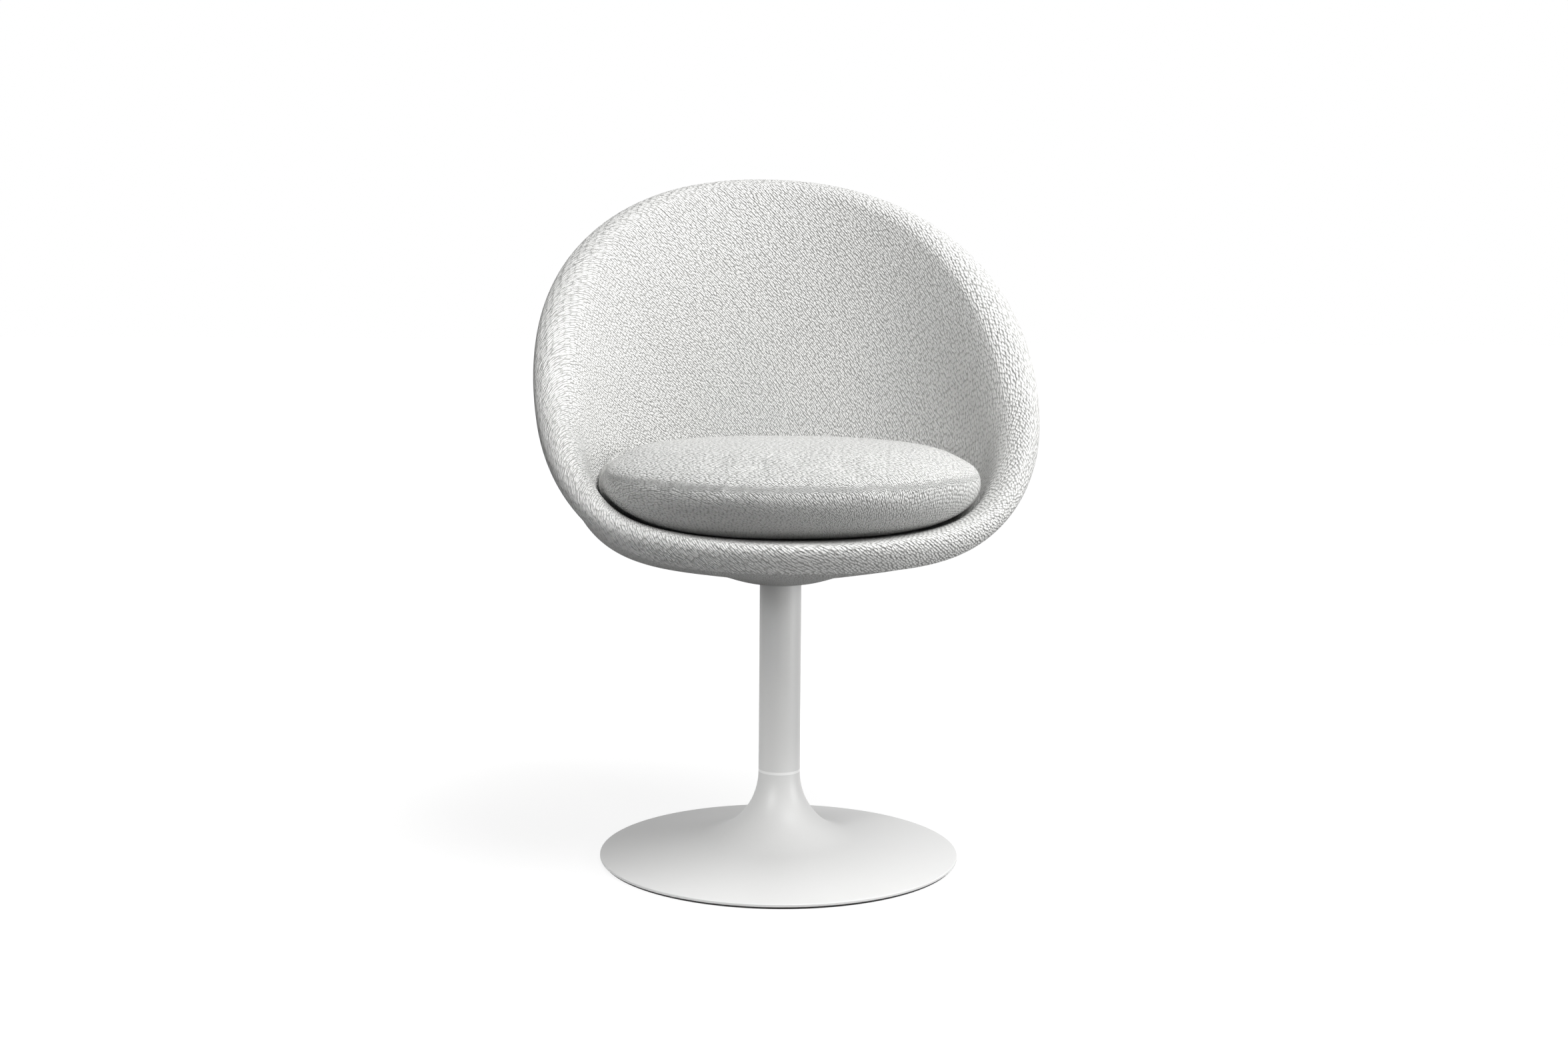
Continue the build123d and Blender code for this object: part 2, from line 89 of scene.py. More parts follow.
# Lamps: place, target, size and spread in degrees
LAMPS = {
    "key": ((1.0, -1.27, 2.98), (0.0, 0.0, 0.5), 1.8, 180),
    "side": ((2.2, -0.9, 0.6), (0.0, 0.0, 0.5), 1.2, 180),
    "fill": ((-2.0, -1.9, 1.3), (0.0, 0.0, 0.5), 1.6, 180),
    "low": ((-1.0, -1.2, 0.75), (-0.1, -0.03, 0.02), 0.3, 30),
}


def length(name, description, default):
    return bpy.props.FloatProperty(name=name, description=description, default=default, unit="LENGTH",
                                   precision=4)


def share(name, description, default):
    return bpy.props.FloatProperty(name=name, description=description, default=default)


def wattage(name, description, default):
    return bpy.props.FloatProperty(name=name, description=description, default=default, unit="POWER")


def angle(name, description, degrees):
    return bpy.props.FloatProperty(name=name, description=description, default=math.radians(degrees),
                                   subtype="ANGLE")


def three(name, description, default):
    return bpy.props.FloatVectorProperty(name=name, description=description, default=default, size=3)


def colour(name, description, default):
    return bpy.props.FloatVectorProperty(name=name, description=description, default=default, size=3,
                                         subtype="COLOR", min=0.0, max=1.0)


class PodSizes(bpy.types.PropertyGroup):
    """Sizes of the upholstered pod, as in its solids but for the lip's drop and nose and the press"""
    half_width: length("Half width", "Rim's inner edge from the middle", 0.248)
    front: length("Front reach", "Rim's inner edge in front of the widest line", 0.174)
    back: length("Back reach", "Rim's inner edge behind the widest line", 0.316)
    widest_y: length("Widest line", "Place of the widest line", -0.080)
    corner: share("Front fullness", "Fullness of the rim's front half, 2 is an ellipse", 2.3)
    floor_height: length("Seat floor", "Height of the seat floor under the cushion", 0.405)
    floor_radius: length("Floor radius", "Flat middle of the seat floor", 0.110)
    lip_height: length("Lip height", "Rim's inner edge at the front", 0.425)
    rim_slope: share("Rim slope", "Slope of the rim from the side", 0.923)
    rim_bend_y: length("Rim bend", "Where the rim leaves the flat lip", -0.2297)
    rim_bend: length("Bend length", "Length of that bend", 0.0239)
    rim_level: length("Level back", "How far the slope levels off at the back", 0.047)
    lip_drop: length("Lip drop", "How far the padding of the front lip is sat down", 0.019)
    lip_nose: share("Lip nose", "How much the front lip slopes back below its edge", 1.0)
    press: length("Press", "How far the cushion presses into the front corners of the seat", 0.009)
    thickness: length("Thickness", "Wall from fabric to fabric", 0.052)
    waist: length("Waist", "How much thinner the wall is half-way up", 0.016)
    rim_bulge: share("Rim roundness", "1 is a half circle", 0.87)
    floor_handle: three("Floor handle", "Spread of the seat floor at front, side, back", (0.40, 1.00, 0.25))
    wall_bulge: three("Wall bulge", "Belly of the wall at front, side and back", (-0.28, -0.25, -0.30))
    wall_handle: three("Wall handle", "Steepness under the rim at front, side and back", (0.07, 0.40, 0.53))
    shell_floor: length("Shell under seat", "Shell's outside below the fabric of the seat floor", 0.0304)
    padding: length("Back padding", "Back cover's fabric to the shell's outside", 0.0063)
    shell: length("Shell", "Thickness of the moulded shell", 0.006)
    layer_gap: length("Layer gap", "Room between the layers", 0.0003)
    cover: length("Cover", "Fabric with its backing", 0.002)
    boss_radius: length("Boss radius", "Hole in the underside round the column", 0.028)
    boss_drop: length("Boss drop", "Boss below the underside", 0.018)


class CushionSizes(bpy.types.PropertyGroup):
    """Sizes of the loose seat cushion"""
    half_width: length("Half width", "Edge from the middle", 0.2140)
    front_y: length("Front", "Front of the edge", -0.2840)
    back_y: length("Back", "Back of the edge", 0.135)
    front_corner: share("Front corners", "Fullness, 2 is an ellipse", 2.226)
    back_corner: share("Back corners", "Fullness, 2 is an ellipse", 2.45)
    egg: share("Egg", "How much wider it is in front than behind", 0.217)
    widest: three("Edge height", "Above the seat floor at front, side and back", (0.0679, 0.0756, 0.0720))
    leave: three("Seat contact", "Share of the wall on which it lies", (0.50, 0.589, 0.25))
    tuck: three("Lower edge", "Fullness of the lower edge, 0.5 is straight", (0.697, 0.706, 0.50))
    height: length("Height", "Crown above the seat floor", 0.1040)
    square: share("Upper edge", "How square the upper edge is", 2.414)
    seat_gap: length("Seat gap", "Cushion to seat", 0.0012)
    inset: length("Slack", "How much smaller it starts before it is blown up", 0.004)
    swell: length("Swell", "Most that a point of the cover may move", 0.005)


class FabricLook(bpy.types.PropertyGroup):
    """Boucle weave"""
    nub: colour("Nub", "Colour of the loops", (0.96, 0.96, 0.945))
    # Valley colour is painted shade in the hollows between the loops; the nub colour is the fabric's own.
    valley_shade: colour("Valley", "Colour between the loops", (0.58, 0.58, 0.565))
    long_pitch: length("Pitch along", "Nubs along a diagonal row", 0.0054)
    row_pitch: length("Pitch across", "Rows across the diagonal", 0.0025)
    relief: length("Relief", "Height of the nubs", 0.0030)


class PaintLook(bpy.types.PropertyGroup):
    """Satin enamel of foot and column"""
    paint: colour("Paint", "Enamel", (0.65, 0.65, 0.645))
    paint_dark: colour("Paint low", "Enamel in the low spots of its skin", (0.62, 0.62, 0.615))


class StageLook(bpy.types.PropertyGroup):
    """Studio"""
    key: wattage("Key light", "Lamp at the front right, above", 114.0)
    fill: wattage("Fill light", "Lamp at the front left", 10.0)
    side: wattage("Side light", "Lamp at the right", 30.0)
    low: wattage("Low light", "Lamp at the left, on the foot", 0.4)
    sky: share("Sky", "Even light from all round", 0.2)
    floor: colour("Floor", "Colour of the floor in the light", (0.20, 0.20, 0.20))
    floor_white: share("Floor white", "White that the floor has of its own near the chair", 0.84)
    floor_reach: length("Floor reach", "Where the floor is all white of its own", 0.9)
    camera: bpy.props.FloatVectorProperty(name="Camera", description="Place of the camera", size=3,
                                          default=(-0.2155, -2.2899, 0.6692), subtype="TRANSLATION")
    pitch: angle("Pitch", "Camera down", 6.51)
    yaw: angle("Yaw", "Camera about the upright, to its left", -5.463)
    roll: angle("Roll", "Camera about its axis", 0.46)
    lens: share("Lens", "Focal length in millimetres on a 36 mm picture", 44.57)


# Shapes

def around(azimuth, shares):
    """A front, a side and a back value, joined by the parabola in the cosine of the azimuth."""
    c = np.cos(azimuth)
    return shares[0] * c * (1 + c) / 2 + shares[1] * (1 - c * c) + shares[2] * c * (c - 1) / 2


def ease(x):
    """Smooth step: three times the square less twice the cube, between 0 and 1."""
    x = np.clip(x, 0.0, 1.0)
    return x * x * (3 - 2 * x)


def turn(columns):
    """Azimuths of the columns, from the front by the right to the back and round."""
    return (np.arange(columns) * (2 * np.pi / columns))[None, :]


def ring(azimuth, radius, height):
    """Level circles: radius times the sine and the negative cosine of the azimuth, at a height."""
    flat = azimuth * 0 + radius * 0
    return np.stack((radius * np.sin(azimuth) + flat, -radius * np.cos(azimuth) + flat, flat + height), -1)


def toward_front(azimuth, degree):
    """Share that is 1 at the front and 0 at the back: half of one plus the cosine, to a power."""
    return ((1 + np.cos(azimuth)) / 2)**degree


def wall(pod, azimuth, s, out, along=0.0):
    """Pod's wall: for each azimuth an upright cubic curve with four handles from the flat seat floor (s = 0)
    to the rim's inner edge (s = 1), moved out square to the curve and along it. The rim's inner edge is half
    a superellipse and half an ellipse in plan. Its height follows a slope that bends softly into the front
    lip, levels off with the sixth power at the back, and is sat down with the third power at the front."""
    sin, cos = np.sin(azimuth), np.cos(azimuth)
    power = np.where(cos > 0, 2 / pod.corner, 1.0)
    rim_x = pod.half_width * np.copysign(np.abs(sin)**power, sin)
    reach = np.where(cos > 0, pod.front, pod.back)
    rim_y = pod.widest_y - reach * np.copysign(np.abs(cos)**power, cos)
    bend = np.log1p(np.exp((rim_y - pod.rim_bend_y) / pod.rim_bend))
    rim_z = pod.lip_height + pod.rim_slope * pod.rim_bend * bend - pod.rim_level * ((1 - cos) / 2)**6
    rim_z = rim_z - pod.lip_drop * toward_front(azimuth, 3)
    start_x, start_y = pod.floor_radius * sin, -pod.floor_radius * cos
    across_x, across_y = rim_x - start_x, rim_y - start_y
    run, rise = np.hypot(across_x, across_y), rim_z - pod.floor_height
    u1 = around(azimuth, pod.floor_handle) * run
    u2 = (1 + around(azimuth, pod.wall_bulge)) * run
    z2 = (1 - around(azimuth, pod.wall_handle)) * rise
    r = 1 - s
    u = 3 * r * r * s * u1 + 3 * r * s * s * u2 + s**3 * run
    z = 3 * r * s * s * z2 + s**3 * rise
    du = 3 * r * r * u1 + 6 * r * s * (u2 - u1) + 3 * s * s * (run - u2)
    dz = 6 * r * s * z2 + 3 * s * s * (rise - z2)
    size = np.hypot(du, dz)
    u = (u + (out * dz + along * du) / size) / run
    z = z + (along * dz - out * du) / size
    return np.stack((start_x + across_x * u, start_y + across_y * u, pod.floor_height + z), -1)


def sat_down(pod, azimuth, s):
    """How far the wall's inside is sat down at the front: the lip's drop times the height of the curve."""
    lift = 3 * (1 - s) * s**2 * (1 - around(azimuth, pod.wall_handle)) + s**3
    return pod.lip_drop * toward_front(azimuth, 3) * lift


def pressed(pod, azimuth, s):
    """How far the cushion presses the inside out: a bell in the azimuth on each side, times a smooth step up
    the wall."""
    side = np.degrees(np.arccos(np.cos(azimuth)))
    return pod.press * np.exp(-((side - PRESS_AT) / PRESS_SPREAD)**2) * ease((s - PRESS_FROM) / PRESS_RISE)


def plain_wall(pod, s):
    """Wall from fabric to fabric before it is sat down, thinned by a parabola half-way up."""
    return pod.thickness - pod.waist * 4 * s * (1 - s)


def thickness(pod, azimuth, s):
    """Wall from fabric to fabric, thinner where it is sat down."""
    return plain_wall(pod, s) - sat_down(pod, azimuth, s)


def shell_out(pod, azimuth, s):
    """Outside of the moulded shell behind the fabric, from the seat floor's depth to the wall's by a smooth
    step, less what the fabric is sat down."""
    side = plain_wall(pod, s) - pod.padding
    return pod.shell_floor + (side - pod.shell_floor) * ease(s / 0.7) - sat_down(pod, azimuth, s)


def front_rows(pod):
    """Front upholstery: rings from the middle of the seat floor up the wall, over the rolled rim, into the
    seam and back down along the shell to the middle again. The rim is a half ellipse that passes into the
    lip's nose at the front: q to a low power times (1 - q), where q is the share of the way out."""
    a = turn(COLUMNS)
    s = np.linspace(0, 1, WALL_ROWS)[:, None]
    k = np.linspace(math.pi, math.radians(5), RIM_ROWS)[1:, None]
    rim_wall, dent = thickness(pod, a, 1.0), pressed(pod, a, 1.0)
    back = np.linspace(1, 0, INNER_ROWS)[:, None]
    low = pod.floor_height - pod.shell_floor + pod.shell + pod.layer_gap
    radii = np.linspace(0.004, pod.floor_radius, FLOOR_ROWS)[:-1, None]
    q = (1 + np.cos(k)) / 2
    nose = pod.lip_nose * toward_front(a, 4)
    shape = (1 - nose) * np.sin(k) + nose * NOSE_REACH * q**NOSE_RISE * (1 - q)
    roll = pod.rim_bulge * pod.thickness / 2 * shape
    tuck_out = rim_wall - SEAM_IN
    return np.concatenate([
        ring(a, radii, pod.floor_height),
        wall(pod, a, s, pressed(pod, a, s)),
        wall(pod, a, 1 + 0 * k, dent + (rim_wall - dent) * q, roll),
        wall(pod, a, 1 + 0 * tuck_out, tuck_out, SEAM_UP),
        wall(pod, a, back, shell_out(pod, a, back) - pod.shell - pod.layer_gap),
        ring(a, radii[::-1], low),
    ])


def back_rows(pod):
    """Back upholstery: closed rings from the hole round the column, out over the boss (a smooth step), up the
    outside to the seam, and back down along the shell, the cone and the inside of the boss."""
    a = turn(COLUMNS)
    grow = np.linspace(0, 1, BOSS_ROWS)[:, None]
    radius = pod.boss_radius + (pod.floor_radius - pod.boss_radius) * grow
    under = pod.floor_height - pod.thickness
    boss = under - pod.boss_drop * (1 - ease(grow))
    s = np.linspace(0, 1, WALL_ROWS)[1:, None]
    along = np.where(s == 1, -SEAM_EDGE, 0.0)
    tuck_out = thickness(pod, a, 1.0) - SEAM_IN
    back = np.linspace(1, 0, INNER_ROWS)[:, None]
    inside = shell_out(pod, a, back) + pod.layer_gap
    return np.concatenate([
        ring(a, radius, boss),
        wall(pod, a, s, thickness(pod, a, s), along),
        wall(pod, a, 1 + 0 * tuck_out, tuck_out, -SEAM_DOWN),
        wall(pod, a, back, inside, np.where(back == 1, -pod.layer_gap, 0.0)),
        ring(a, radius[::-1], boss[::-1] + pod.cover),
    ])


def cushion_edge(cushion, azimuth, inset, reach=1.0):
    """Cushion's edge in plan: full ellipses with a power of their own at the front and at the back, wider in
    front by the cosine, and drawn in to a share of its reach."""
    sin, cos = np.sin(azimuth), np.cos(azimuth)
    power = 2 / np.where(cos > 0, cushion.front_corner, cushion.back_corner)
    middle = (cushion.front_y + cushion.back_y) / 2
    half_depth = (cushion.back_y - cushion.front_y) / 2
    x = (cushion.half_width - inset) * np.sign(sin) * np.abs(sin)**power * (1 + cushion.egg * cos)
    y = middle - (half_depth - inset) * reach * np.sign(cos) * np.abs(cos)**power
    return x * reach, y


def cushion_rows(pod, cushion, inset, lift):
    """Cushion: rings along the seat, up a parabola through the full lower edge to the widest line, and on to
    the crown, where the reach falls with the square and the height rises with one less a power."""
    a = turn(CUSHION_COLUMNS)
    leave = around(a, cushion.leave)
    share_up = np.linspace(0, 1, SEAT_ROWS)[:, None]
    out = -cushion.seat_gap - lift
    under = wall(pod, a, share_up * leave, out)
    low = under[-1:]
    edge_x, edge_y = cushion_edge(cushion, a, inset)
    high = np.stack((edge_x, edge_y, pod.floor_height + around(a, cushion.widest)), -1)
    tuck = around(a, cushion.tuck)[..., None]
    bend = low + (high - low) * np.concatenate((tuck, tuck, 1 - tuck), -1)
    t = np.linspace(0, 1, SIDE_ROWS)[1:, None, None]
    side = low * (1 - t) * (1 - 2 * t) + bend * 4 * t * (1 - t) + high * t * (2 * t - 1)
    step = np.linspace(0, 1, CROWN_ROWS)[1:-1, None]
    x, y = cushion_edge(cushion, a, inset, 1 - step**2)
    top = pod.floor_height + cushion.height - inset
    z = high[..., 2] + (top - high[..., 2]) * (1 - (1 - step)**cushion.square)
    crown = np.stack((x, y, z + 0 * x), -1)
    radii = np.linspace(0.006, pod.floor_radius, FLOOR_ROWS)[:-1, None]
    middle = ring(a, radii, pod.floor_height - out)
    return np.concatenate([middle, under, side, crown])


# Meshes

def grid_mesh(name, rows, weave=None, closed=False):
    """Mesh of rings. Neighbouring rings are joined by quads, and the first and last are joined to each other
    (closed) or each to a middle point. The weave map, if given, has one column more than the rings."""
    count, columns = rows.shape[:2]
    spots = rows.reshape(-1, 3)
    k = np.arange(count if closed else count - 1)[:, None]
    j = np.arange(columns)[None, :]
    after, beside = (k + 1) % count, (j + 1) % columns
    here, above = k * columns, after * columns
    quads = np.stack([here + j, here + beside, above + beside, above + j], -1)
    faces = quads.reshape(-1, 4).tolist()
    marks = []
    if weave is not None:
        flat = weave.reshape(-1, 2)
        wide = columns + 1
        corner = np.stack([k * wide + j, k * wide + j + 1, after * wide + j + 1, after * wide + j], -1)
        marks.append(flat[corner.reshape(-1)])
    if not closed:
        spots = np.concatenate([spots, rows[0].mean(0)[None], rows[-1].mean(0)[None]])
        first, last = count * columns, count * columns + 1
        j = np.arange(columns)
        beside = (j + 1) % columns
        base = (count - 1) * columns
        low = np.stack([beside, j, first + 0 * j], -1)
        high = np.stack([base + j, base + beside, last + 0 * j], -1)
        faces += low.tolist() + high.tolist()
        if weave is not None:
            for line, order in ((weave[0], (1, 0)), (weave[-1], (0, 1))):
                ends = np.stack([line[:-1], line[1:]], 1)[:, order]
                tip = ends.mean(1, keepdims=True)
                marks.append(np.concatenate([ends, tip], 1).reshape(-1, 2))
    mesh = bpy.data.meshes.new(name)
    mesh.from_pydata(spots.tolist(), [], faces)
    if weave is not None:
        layer = mesh.uv_layers.new(name="weave")
        layer.data.foreach_set("uv", np.concatenate(marks).astype(np.float32).ravel())
    mesh.polygons.foreach_set("use_smooth", np.ones(len(mesh.polygons), dtype=bool))
    mesh.update()
    return mesh


def lattice(fabric, across, up):
    """Weave map: cloth lengths across and up, turned by half a right angle, in nubs along and across rows."""
    half = math.sqrt(0.5)
    return np.stack([(across + up) * half / fabric.long_pitch, (across - up) * half / fabric.row_pitch], -1)


def wound_weave(fabric, rows, radius):
    """Weave map of rings: across is the azimuth times a mean radius, trimmed so that whole nubs go round,
    and up is the length along each column."""
    step = np.linalg.norm(np.diff(rows, axis=0), axis=2)
    up = np.concatenate([np.zeros((1, rows.shape[1])), np.cumsum(step, 0)])
    up = np.concatenate([up, up[:, :1]], 1)
    part = np.linspace(0, 1, rows.shape[1] + 1)[None, :]
    flat = lattice(fabric, 2 * math.pi * radius * part, up)
    girth = lattice(fabric, 2 * math.pi * radius, 0.0)
    return flat + part[..., None] * (np.round(girth) - girth)


def add_piece(name, mesh, body, slot, *nodes):
    """Puts a mesh into the scene as a piece on a body, in place of solids."""
    piece = bpy.data.objects.new(name, mesh)
    bpy.context.scene.collection.objects.link(piece)
    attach(piece, body)
    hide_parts(*nodes)
    return piece


# Materials

def new_group(name, inputs, outputs):
    """Empty shader group with float or vector sockets."""
    group = bpy.data.node_groups.new(name, "ShaderNodeTree")
    for label, kind, value in inputs:
        socket = group.interface.new_socket(label, in_out="INPUT", socket_type=kind)
        if value is not None:
            socket.default_value = value
    for label in outputs:
        group.interface.new_socket(label, in_out="OUTPUT", socket_type="NodeSocketFloat")
    start = group.nodes.new("NodeGroupInput")
    end = group.nodes.new("NodeGroupOutput")
    return group, start, end


def math_node(tree, kind, a, b=None, clamp=False):
    """Math node on sockets or numbers, and its output."""
    node = tree.nodes.new("ShaderNodeMath")
    node.operation = kind
    node.use_clamp = clamp
    for socket, value in zip(node.inputs, (a, b)):
        if isinstance(value, bpy.types.NodeSocket):
            tree.links.new(value, socket)
        elif value is not None:
            socket.default_value = value
    return node.outputs[0]


def texture(tree, kind, vector, **values):
    """Texture node on a vector, with its settings and socket values."""
    node = tree.nodes.new(kind)
    for label, value in values.items():
        if label in ("dimensions", "feature"):
            if kind == "ShaderNodeTexVoronoi":
                setattr(node, "voronoi_dimensions" if label == "dimensions" else "feature", value)
            else:
                setattr(node, "noise_dimensions", value)
        elif isinstance(value, bpy.types.NodeSocket):
            tree.links.new(value, node.inputs[label.replace("_", " ").title()])
        else:
            node.inputs[label.replace("_", " ").title()].default_value = value
    if vector is not None:
        tree.links.new(vector, node.inputs["Vector"])
    return node


def boucle_group():
    """Nubs of a boucle weave: cells about the points of a lightly shaken lattice, each a dome that falls with
    the square of the distance, of uneven height, with loops of yarn as finer noise on it."""
    if "boucle_nubs" in bpy.data.node_groups:
        return bpy.data.node_groups["boucle_nubs"]
    inputs = [("Weave", "NodeSocketVector", None)]
    group, start, end = new_group("boucle_nubs", inputs, ["Height", "Light", "Yarn"])
    weave = start.outputs["Weave"]
    drift = texture(group, "ShaderNodeTexNoise", weave, dimensions="2D", scale=0.4, detail=2.0, roughness=0.6)
    centre = group.nodes.new("ShaderNodeVectorMath")
    centre.operation = "MULTIPLY_ADD"
    centre.inputs[1].default_value = (0.45, 0.45, 0.0)
    group.links.new(drift.outputs["Color"], centre.inputs[0])
    group.links.new(weave, centre.inputs[2])
    shaken = centre.outputs[0]
    cells = texture(group, "ShaderNodeTexVoronoi", shaken, dimensions="2D", feature="F1", scale=1.0,
                    randomness=0.6)
    shade = group.nodes.new("ShaderNodeSeparateColor")
    group.links.new(cells.outputs["Color"], shade.inputs[0])
    near = math_node(group, "DIVIDE", cells.outputs["Distance"], 0.66)
    dome = math_node(group, "SUBTRACT", 1.0, math_node(group, "MULTIPLY", near, near), clamp=True)
    tall = math_node(group, "MULTIPLY_ADD", shade.outputs[0], 0.55)
    tall.node.inputs[2].default_value = 0.62
    nub = math_node(group, "MULTIPLY", dome, tall)
    yarn = texture(group, "ShaderNodeTexNoise", shaken, dimensions="2D", scale=3.4, detail=3.0,
                   roughness=0.62)
    loops = math_node(group, "MULTIPLY", yarn.outputs["Fac"], 0.42)
    height = math_node(group, "ADD", nub, loops)
    # Light: share of the nub colour, 0 in the deep hollows where the painted shade between the loops is full.
    light = math_node(group, "MULTIPLY_ADD", height, 1.7)
    light.node.inputs[2].default_value = -0.35
    light.node.use_clamp = True
    group.links.new(height, end.inputs["Height"])
    group.links.new(light, end.inputs["Light"])
    group.links.new(yarn.outputs["Fac"], end.inputs["Yarn"])
    return group


def grain_group():
    """Skin of a painted, moulded, cast or drawn surface: coarse clouds and fine grain in object space."""
    if "skin_grain" in bpy.data.node_groups:
        return bpy.data.node_groups["skin_grain"]
    inputs = [("Vector", "NodeSocketVector", None), ("Fine", "NodeSocketFloat", 900.0),
              ("Coarse", "NodeSocketFloat", 9.0)]
    group, start, end = new_group("skin_grain", inputs, ["Tone", "Height"])
    place = start.outputs["Vector"]
    fine = texture(group, "ShaderNodeTexNoise", place, scale=start.outputs["Fine"], detail=2.0)
    cloud = texture(group, "ShaderNodeTexNoise", place, scale=start.outputs["Coarse"], detail=4.0)
    tone = math_node(group, "MULTIPLY_ADD", fine.outputs["Fac"], 0.45)
    group.links.new(math_node(group, "MULTIPLY", cloud.outputs["Fac"], 0.55), tone.node.inputs[2])
    group.links.new(tone, end.inputs["Tone"])
    group.links.new(fine.outputs["Fac"], end.inputs["Height"])
    return group


def start_material(name):
    """Material with a Principled shader, and its tree, shader and links."""
    material = bpy.data.materials.get(name) or bpy.data.materials.new(name)
    material.use_nodes = True
    tree = material.node_tree
    tree.nodes.clear()
    shader = tree.nodes.new("ShaderNodeBsdfPrincipled")
    output = tree.nodes.new("ShaderNodeOutputMaterial")
    tree.links.new(shader.outputs[0], output.inputs["Surface"])
    return material, tree, shader


def mixed(tree, factor, low, high):
    """Two colours mixed by a factor."""
    node = tree.nodes.new("ShaderNodeMix")
    node.data_type = "RGBA"
    node.inputs["A"].default_value = (*low, 1.0)
    node.inputs["B"].default_value = (*high, 1.0)
    tree.links.new(factor, node.inputs["Factor"])
    return node.outputs["Result"]


def spread(tree, factor, low, high):
    """Value spread over a range."""
    node = tree.nodes.new("ShaderNodeMapRange")
    node.inputs["To Min"].default_value = low
    node.inputs["To Max"].default_value = high
    tree.links.new(factor, node.inputs["Value"])
    return node.outputs["Result"]


def bumped(tree, height, distance, strength=1.0):
    node = tree.nodes.new("ShaderNodeBump")
    node.inputs["Strength"].default_value = strength
    node.inputs["Distance"].default_value = distance
    tree.links.new(height, node.inputs["Height"])
    return node.outputs["Normal"]


def boucle_material(fabric):
    """Off-white boucle on the piece's weave map, with painted shade darkening the hollows between the nubs,
    and faint clouds from its dyeing.
    """
    if "boucle_weave" in bpy.data.materials:
        return bpy.data.materials["boucle_weave"]
    material, tree, shader = start_material("boucle_weave")
    place = tree.nodes.new("ShaderNodeUVMap")
    place.uv_map = "weave"
    nubs = tree.nodes.new("ShaderNodeGroup")
    nubs.node_tree = boucle_group()
    tree.links.new(place.outputs["UV"], nubs.inputs["Weave"])
    body = tree.nodes.new("ShaderNodeTexCoord")
    clouds = texture(tree, "ShaderNodeTexNoise", body.outputs["Object"], scale=11.0, detail=3.0)
    # Painted shade: the valley colour darkens the hollows between the nubs, mixed in by the Light share.
    yarn = mixed(tree, nubs.outputs["Light"], fabric.valley_shade, fabric.nub)
    wash = tree.nodes.new("ShaderNodeMix")
    wash.data_type = "RGBA"
    wash.blend_type = "MULTIPLY"
    wash.inputs["Factor"].default_value = 1.0
    tree.links.new(yarn, wash.inputs["A"])
    dye = mixed(tree, clouds.outputs["Fac"], (0.965, 0.965, 0.96), (1.0, 1.0, 1.0))
    tree.links.new(dye, wash.inputs["B"])
    tree.links.new(wash.outputs["Result"], shader.inputs["Base Color"])
    tree.links.new(spread(tree, nubs.outputs["Yarn"], 0.98, 0.8), shader.inputs["Roughness"])
    tree.links.new(bumped(tree, nubs.outputs["Height"], fabric.relief), shader.inputs["Normal"])
    shader.inputs["Sheen Weight"].default_value = 0.12
    shader.inputs["Sheen Roughness"].default_value = 0.6
    shader.inputs["Specular IOR Level"].default_value = 0.25
    return material


def skin_material(name, low, high, rough, fine=900.0, coarse=9.0, relief=0.00004, metallic=0.0,
                  stretch=(1, 1, 1)):
    """Rigid finish: two tones and a range of roughness mixed by the grain, with its relief as bump."""
    material, tree, shader = start_material(name)
    body = tree.nodes.new("ShaderNodeTexCoord")
    scaled = tree.nodes.new("ShaderNodeMapping")
    scaled.inputs["Scale"].default_value = stretch
    tree.links.new(body.outputs["Object"], scaled.inputs["Vector"])
    grain = tree.nodes.new("ShaderNodeGroup")
    grain.node_tree = grain_group()
    grain.inputs["Fine"].default_value = fine
    grain.inputs["Coarse"].default_value = coarse
    tree.links.new(scaled.outputs["Vector"], grain.inputs["Vector"])
    tree.links.new(mixed(tree, grain.outputs["Tone"], low, high), shader.inputs["Base Color"])
    tree.links.new(spread(tree, grain.outputs["Tone"], rough[0], rough[1]), shader.inputs["Roughness"])
    tree.links.new(bumped(tree, grain.outputs["Height"], relief), shader.inputs["Normal"])
    shader.inputs["Metallic"].default_value = metallic
    return material


def dress(material, *nodes):
    """Gives solids that keep their shape a material."""
    for node in nodes:
        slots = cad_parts[node].data.materials
        slots.clear()
        slots.append(material)


# Operators

class CHAIR_OT_pod_front(bpy.types.Operator):
    """Boucle inside and rolled rim of the pod, with its foam"""
    bl_idname = "chair.pod_front"
    bl_label = "Pod front"

    def execute(self, context):
        pod, fabric = context.scene.chair_pod, context.scene.chair_fabric
        rows = front_rows(pod)
        mesh = grid_mesh("pod_front", rows, wound_weave(fabric, rows, MEAN_RADIUS))
        mesh.materials.append(boucle_material(fabric))
        piece = add_piece("pod_front", mesh, "pod", "boucle", "cover_front", "shell_foam")
        return {"FINISHED"}


class CHAIR_OT_pod_back(bpy.types.Operator):
    """Boucle outside and underside of the pod, with its wadding"""
    bl_idname = "chair.pod_back"
    bl_label = "Pod back"

    def execute(self, context):
        pod, fabric = context.scene.chair_pod, context.scene.chair_fabric
        rows = back_rows(pod)
        mesh = grid_mesh("pod_back", rows, wound_weave(fabric, rows, MEAN_RADIUS), closed=True)
        mesh.materials.append(boucle_material(fabric))
        piece = add_piece("pod_back", mesh, "pod", "boucle", "cover_back", "back_wadding")
        return {"FINISHED"}


